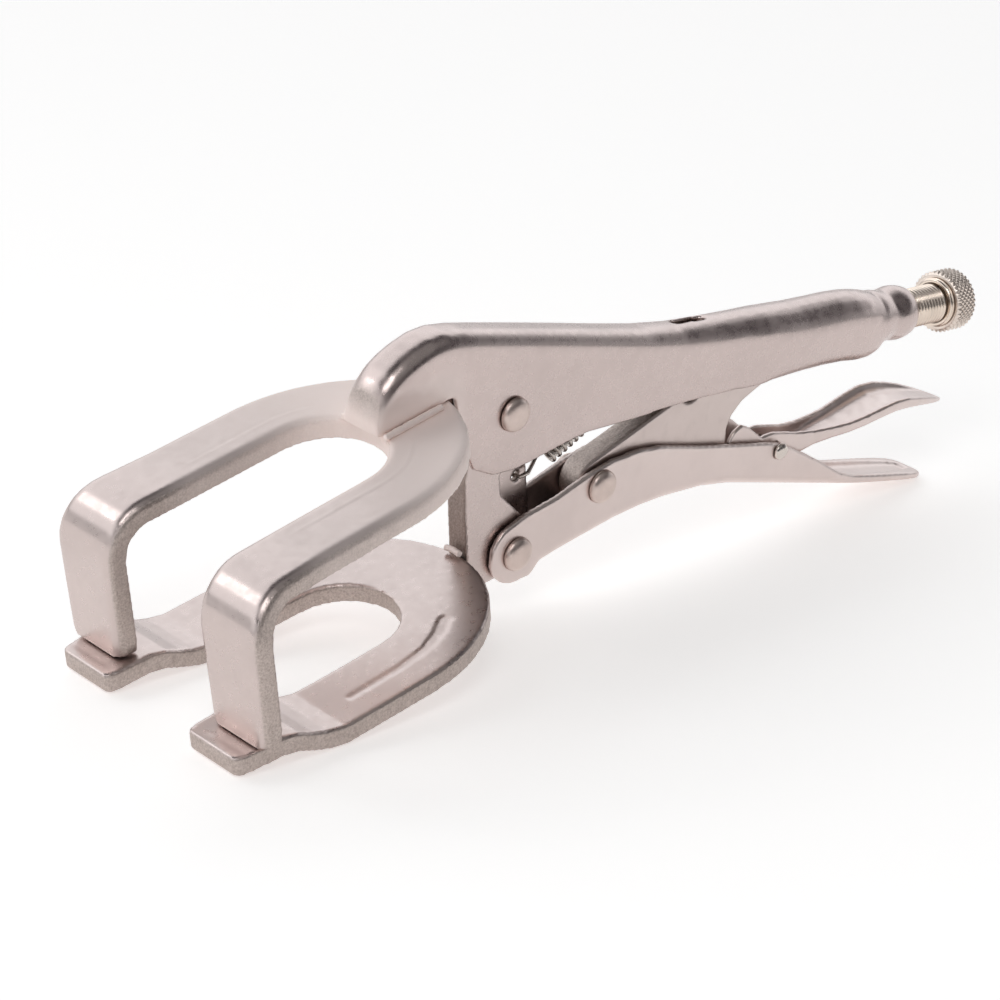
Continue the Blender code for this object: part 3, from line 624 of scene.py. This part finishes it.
def build_knob():
    start, end = KNOB_START, KNOB_START + KNOB_LENGTH
    dish = 0.55
    face = [(start + dish, 0.3), (start + dish, 5.4), (start + dish - 0.25, 5.9),
            (start + 0.05, 6.6), (start, 6.9), (start, KNOB_RADIUS - 1.0), (start + 0.12, KNOB_RADIUS - 0.75)]
    back = [(end - 0.15, KNOB_RADIUS - 0.8), (end, KNOB_RADIUS - 1.2), (end, 6.2),
            (end - 0.25, 5.9), (end - 0.25, 0.3)]
    rows = 56
    low, high = start + 0.75, end - 0.75
    band = [(low + (high - low) * i / rows, None) for i in range(rows + 1)]
    profile = face + band + back
    heights = [p[0] for p in profile]

    def radius(row, height, angle):
        fixed = profile[row][1]
        return knurl_radius(height, angle) if fixed is None else fixed

    knob = turned("adjusting_knob_knurled", MOUTH, SCREW_AXIS, radius, heights, TEETH * 8)
    knob.data.set_sharp_from_angle(angle=math.radians(50))
    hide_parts("adjusting_knob")
    put_on(knob, "screw", knob_finish)


# ---- spring -----------------------------------------------------------------------
SPRING_HOLE = (115.4, 16.4)    # (x, z) of the hole in the lower jaw's arm
SPRING_HOOK = (177.5, 34.0)    # (x, z) where it hooks over the slot in the body
SPRING_WIRE = 0.55
SPRING_COIL = 2.3
SPRING_TURNS = 22


def spring_route():
    start = Vector((SPRING_HOLE[0], 0.0, SPRING_HOLE[1]))
    end = Vector((SPRING_HOOK[0], 0.0, SPRING_HOOK[1]))
    line = (end - start).normalized()
    side = Vector((0.0, 1.0, 0.0))
    up = line.cross(side)
    length = (end - start).length
    near, far = 9.0, length - 11.0
    route = [start + side * 5.0, start + side * 3.6, start + side * 2.4 + line * 0.1,
             start + side * 0.2 + line * 0.4, start + side * -0.6 + line * 2.5,
             start + side * 0.6 + line * 5.2]
    per_turn = 22
    total = SPRING_TURNS * per_turn
    for i in range(total + 1):
        angle = 2 * math.pi * i / per_turn
        centre = start + line * (near + (far - near) * i / total)
        route.append(centre + (side * math.cos(angle) + up * math.sin(angle)) * SPRING_COIL)
    route += [end - line * 9.0 + side * 1.4, end - line * 7.0 + up * -0.5, end - line * 4.5 + up * 0.1,
              end - line * 2.0, end + up * -0.8, end + up * -2.0 + line * 1.0]
    return [jaw_point(*p) for p in route]


def build_spring():
    curve = bpy.data.curves.new("tension_spring_wire", "CURVE")
    curve.dimensions = "3D"
    curve.bevel_depth = SPRING_WIRE * MM
    curve.bevel_resolution = 3
    curve.use_fill_caps = True
    spline = curve.splines.new("POLY")
    route = spring_route()
    spline.points.add(len(route) - 1)
    for place, point in zip(spline.points, route):
        place.co = (*point, 1.0)
    drawn = link(bpy.data.objects.new("spring_drawn", curve))
    bpy.context.view_layer.update()
    graph = bpy.context.evaluated_depsgraph_get()
    mesh = bpy.data.meshes.new_from_object(drawn.evaluated_get(graph))
    bpy.data.objects.remove(drawn)
    mesh.shade_smooth()
    mesh.materials.clear()
    mesh.materials.append(spring_finish)
    spring = link(bpy.data.objects.new("tension_spring_wire", mesh))
    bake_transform(spring)
    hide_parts("tension_spring")


# ---- stage ------------------------------------------------------------------------
def plain(name, colour, roughness):
    material = bpy.data.materials.new(name)
    material.use_nodes = True
    shader = material.node_tree.nodes["Principled BSDF"]
    shader.inputs["Base Color"].default_value = (*colour, 1.0)
    shader.inputs["Roughness"].default_value = roughness
    return material


FLOOR_GLOW = 0.45              # its own light, so that the table reads as white
FLOOR_GAP = 0.0004             # metres between the tool's lowest point and the table


def build_floor():
    half = 4.0
    mesh = bpy.data.meshes.new("floor")
    corners = [(-half, -half, 0), (half, -half, 0), (half, half, 0), (-half, half, 0)]
    mesh.from_pydata(corners, [], [(0, 1, 2, 3)])
    floor = link(bpy.data.objects.new("floor", mesh))
    floor.location.z = cad_box[0].z - FLOOR_GAP
    pale = plain("pale_floor", (0.90, 0.89, 0.88), 0.8)
    shader = pale.node_tree.nodes["Principled BSDF"]
    shader.inputs["Emission Color"].default_value = (1.0, 0.99, 0.98, 1.0)
    shader.inputs["Emission Strength"].default_value = FLOOR_GLOW
    mesh.materials.append(pale)


def area_light(name, place, size, power, colour=(1.0, 1.0, 1.0), size_y=None, target=(0.0, 0.0, 0.03)):
    lamp = bpy.data.lights.new(name, "AREA")
    lamp.energy = power
    lamp.color = colour
    lamp.size = size
    if size_y:
        lamp.shape = "RECTANGLE"
        lamp.size_y = size_y
    obj = link(bpy.data.objects.new(name, lamp))
    obj.location = place
    obj.rotation_euler = (Vector(place) - Vector(target)).to_track_quat("Z", "Y").to_euler()
    return obj


LEAN = -0.60                   # tips the border between light and dark with a direction's Y
WALL_LOW, WALL_HIGH = 0.06, 0.24          # where the dim band at the horizon fades out, as Z
WALL_DIM, ROOM_BRIGHT = 0.35, 1.30


def build_light():
    """A room that is light low down and towards +Y, dark overhead and towards -Y and dim
    at the horizon, with two small soft boxes."""
    world = bpy.data.worlds.new("studio")
    bpy.context.scene.world = world
    world.use_nodes = True
    tree = world.node_tree
    back = tree.nodes["Background"]
    sky = tree.nodes.new("ShaderNodeTexCoord")
    parts = tree.nodes.new("ShaderNodeSeparateXYZ")
    tree.links.new(sky.outputs["Generated"], parts.inputs["Vector"])
    lean = tree.nodes.new("ShaderNodeMath")
    lean.operation = "MULTIPLY_ADD"
    lean.inputs[1].default_value = LEAN
    tree.links.new(parts.outputs["Y"], lean.inputs[0])
    tree.links.new(parts.outputs["Z"], lean.inputs[2])
    ramp = tree.nodes.new("ShaderNodeValToRGB")
    tree.links.new(lean.outputs[0], ramp.inputs["Fac"])
    stops = ((0.0, (0.96, 0.98, 1.0)), (0.47, (0.92, 0.95, 0.97)), (0.60, (0.07, 0.065, 0.07)),
             (0.92, (0.05, 0.045, 0.05)), (1.0, (0.2, 0.2, 0.2)))
    for index, (place, colour) in enumerate(stops):
        stop = ramp.color_ramp.elements[index] if index < 2 else ramp.color_ramp.elements.new(place)
        stop.position = place
        stop.color = (*colour, 1.0)
    tree.links.new(ramp.outputs["Color"], back.inputs["Color"])
    wall = tree.nodes.new("ShaderNodeMapRange")
    wall.inputs["From Min"].default_value = WALL_LOW
    wall.inputs["From Max"].default_value = WALL_HIGH
    wall.inputs["To Min"].default_value = WALL_DIM
    wall.inputs["To Max"].default_value = ROOM_BRIGHT
    tree.links.new(parts.outputs["Z"], wall.inputs["Value"])
    tree.links.new(wall.outputs["Result"], back.inputs["Strength"])
    area_light("back_left_box", (-0.60, 0.70, 0.60), 0.20, 0.35)
    area_light("front_left_box", (-0.68, -0.40, 0.88), 0.50, 2.4)


# ---- camera -----------------------------------------------------------------------
# These nine numbers come from a camera fit.
CAMERA_PLACE = (-302.35, -465.03, 400.45)          # in the jaw frame, millimetres
CAMERA_RIGHT = (0.72526, -0.68632, -0.05445)
CAMERA_UP = (0.39791, 0.35330, 0.84667)


def build_camera():
    camera = bpy.data.cameras.new("camera")
    camera.lens = 108.0
    camera.sensor_width = 36.0
    camera.clip_start, camera.clip_end = 0.01, 20.0
    obj = link(bpy.data.objects.new("camera", camera))
    right, up = Vector(CAMERA_RIGHT).normalized(), Vector(CAMERA_UP).normalized()
    back = right.cross(up).normalized()
    turn = Matrix((right, back.cross(right), back)).transposed()
    obj.matrix_world = Matrix.Translation(jaw_point(*CAMERA_PLACE)) @ (JAW.to_3x3() @ turn).to_4x4()
    bpy.context.scene.camera = obj


build_pressings()
build_welds()
build_rivets()
build_screw()
build_spring()
build_floor()
build_light()
build_camera()
bpy.context.scene.view_settings.view_transform = "Standard"
